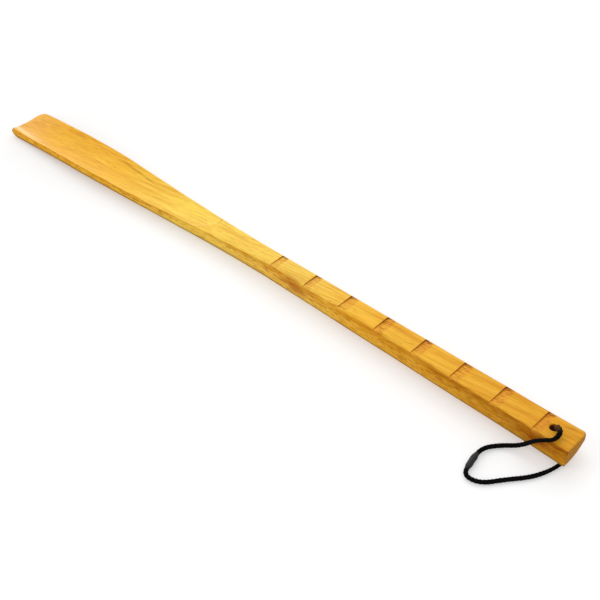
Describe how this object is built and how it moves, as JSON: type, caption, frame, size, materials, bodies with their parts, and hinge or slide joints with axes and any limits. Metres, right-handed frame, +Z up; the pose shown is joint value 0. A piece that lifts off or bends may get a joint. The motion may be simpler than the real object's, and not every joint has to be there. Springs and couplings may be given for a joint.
{
  "type": "long shoehorn",
  "caption": "Long wooden shoehorn: a shallow scooped blade, a slim neck and a bevelled handle with cross-cut grip notches, drilled at the end for a looped hanging cord.",
  "frame": {"origin": "on the table under the middle of the stick", "axes": "+X along the stick from the blade's tip towards the handle's end, +Z up from the table through the scooped face"},
  "size_m": [0.505, 0.0691, 0.0221],
  "materials": {
    "lacquered_wood": "light honey-coloured wood under glossy clear lacquer",
    "black_cord": "fine braided black cord",
    "dark_sleeve": "dark grey shrunk sleeve, slightly shiny"
  },
  "bodies": {
    "stick": {"shoehorn_body": "lacquered_wood"},
    "cord_loop": {"hang_cord": "black_cord", "cord_splice_sleeve": "dark_sleeve"}
  },
  "joints": [
    {"name": "loop_swing", "type": "hinge", "parent": "stick", "child": "cord_loop", "pos_m": [0.236, 0, 0.0108], "axis": [0, 0, 1], "range_deg": [-12, 32]}
  ]
}
